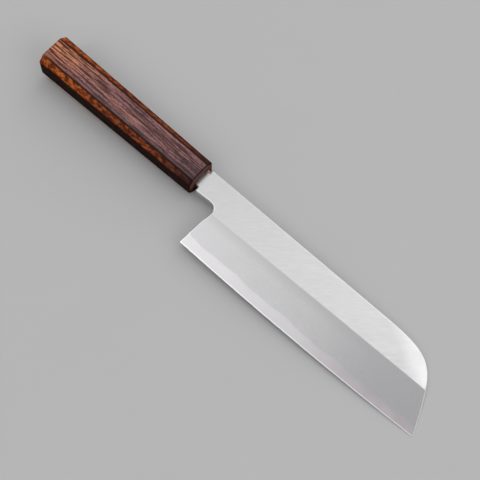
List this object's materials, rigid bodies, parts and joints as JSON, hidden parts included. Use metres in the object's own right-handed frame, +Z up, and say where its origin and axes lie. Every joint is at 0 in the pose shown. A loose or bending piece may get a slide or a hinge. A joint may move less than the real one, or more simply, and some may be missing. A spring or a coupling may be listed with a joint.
{
  "type": "usuba knife",
  "caption": "Single-bevel vegetable knife with a tall, nearly straight-edged blade, a sickle-shaped tip, a stepped neck and an octagonal lacquered oak handle.",
  "frame": {"origin": "middle of the bounding box on the level of the surface that the knife lies on", "axes": "+X from the handle to the tip, +Y from the cutting edge to the spine, +Z up, with the bevelled face up"},
  "size_m": [0.3254, 0.0514, 0.0245],
  "materials": {
    "soft_iron": "flat with fine slanting grinding lines, bevel in a hazy matte stone finish",
    "hard_steel": "fine stone finish, a little brighter than the iron, meeting it along a gently wavy line",
    "burnt_oak": "scorched and lacquered, orange brown at the butt and plum brown at the front, satin gloss",
    "pale_softwood": "bare, split along the grain",
    "bedding_resin": "dull dark resin"
  },
  "bodies": {
    "root": {"blade_body": "soft_iron", "edge_steel": "hard_steel", "handle": "burnt_oak", "tang_wedge": "pale_softwood", "tang_bedding": "bedding_resin"}
  },
  "joints": []
}
